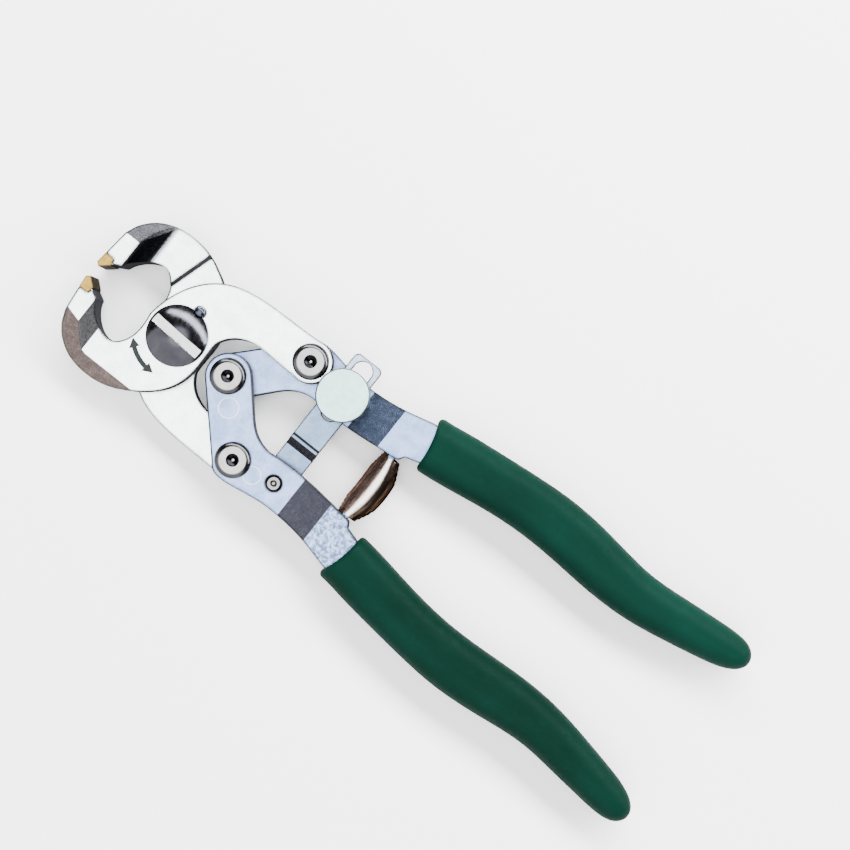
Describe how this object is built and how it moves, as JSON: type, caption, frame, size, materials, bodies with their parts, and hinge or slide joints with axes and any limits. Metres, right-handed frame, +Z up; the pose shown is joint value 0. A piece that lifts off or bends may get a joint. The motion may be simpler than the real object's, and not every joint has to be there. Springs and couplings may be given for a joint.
{
  "type": "compound-lever mosaic glass nippers",
  "caption": "Compound-lever mosaic nippers: carbide-tipped crossed jaws, toggle-linked handles with moulded grips, return spring and a slotted stay with lock knob.",
  "frame": {"origin": "on the jaw pivot axis, at the table the tool lies on: the outer face of the pivot nut and bolt end", "axes": "+Y forward to the carbide tips, +X to the right-hand handle, +Z up out of the table along the pivot axes"},
  "size_m": [0.0624, 0.2042, 0.0138],
  "materials": {
    "jaw_steel": "satin nickel-plated forging",
    "handle_steel": "satin zinc-plated plate",
    "stay_steel": "satin zinc-plated strip",
    "bolt_steel": "polished",
    "screw_steel": "polished",
    "knob_steel": "fine turned",
    "spring_steel": "bright rolled strip",
    "carbide": "ground, gold-coloured",
    "grip_pvc": "satin moulded PVC"
  },
  "bodies": {
    "left_jaw": {"left_jaw": "jaw_steel", "left_carbide_tip": "carbide", "pivot_bolt": "bolt_steel", "pivot_nut": "bolt_steel", "pivot_lock_screw": "screw_steel", "right_link_screw": "screw_steel", "right_link_nut": "screw_steel"},
    "right_jaw": {"right_jaw": "jaw_steel", "right_carbide_tip": "carbide"},
    "right_handle": {"right_handle": "handle_steel", "right_grip": "grip_pvc", "toggle_screw": "screw_steel", "toggle_nut": "screw_steel", "lock_stud": "screw_steel"},
    "left_handle": {"left_handle": "handle_steel", "left_grip": "grip_pvc", "left_link_screw": "screw_steel", "left_link_nut": "screw_steel", "stay_pin": "screw_steel", "spring": "spring_steel"},
    "stay": {"stay": "stay_steel"},
    "lock_knob": {"lock_knob": "knob_steel", "lock_washer": "screw_steel"}
  },
  "joints": [
    {"name": "right_handle_swing", "type": "hinge", "parent": "left_jaw", "child": "right_handle", "pos_m": [0.0168, -0.03241, 0.006], "axis": [0, 0, -1], "range_deg": [-5.1, 3.2]},
    {"name": "handle_squeeze", "type": "hinge", "parent": "right_handle", "child": "left_handle", "pos_m": [0, -0.01744, 0.006], "axis": [0, 0, 1], "range_deg": [-18, 11], "stiffness_Nm_per_rad": 1.5, "deforming": ["spring"]},
    {"name": "jaw_close", "type": "hinge", "parent": "left_jaw", "child": "right_jaw", "pos_m": [0, 0, 0.006], "axis": [0, 0, 1], "range_deg": [-8.2, 5.1]},
    {"name": "stay_swing", "type": "hinge", "parent": "left_handle", "child": "stay", "pos_m": [-0.015, -0.0448, 0.006], "axis": [0, 0, -1], "range_deg": [-9.2, 5.7]},
    {"name": "lock_knob_turn", "type": "hinge", "parent": "right_handle", "child": "lock_knob", "pos_m": [0.015, -0.0448, 0.01], "axis": [0, 0, 1], "range_deg": [0, 180]}
  ],
  "couplings": [
    {"joint": "right_handle_swing", "follows": "handle_squeeze", "ratio": 0.276},
    {"joint": "jaw_close", "follows": "handle_squeeze", "ratio": 0.448},
    {"joint": "stay_swing", "follows": "handle_squeeze", "ratio": 0.5}
  ]
}
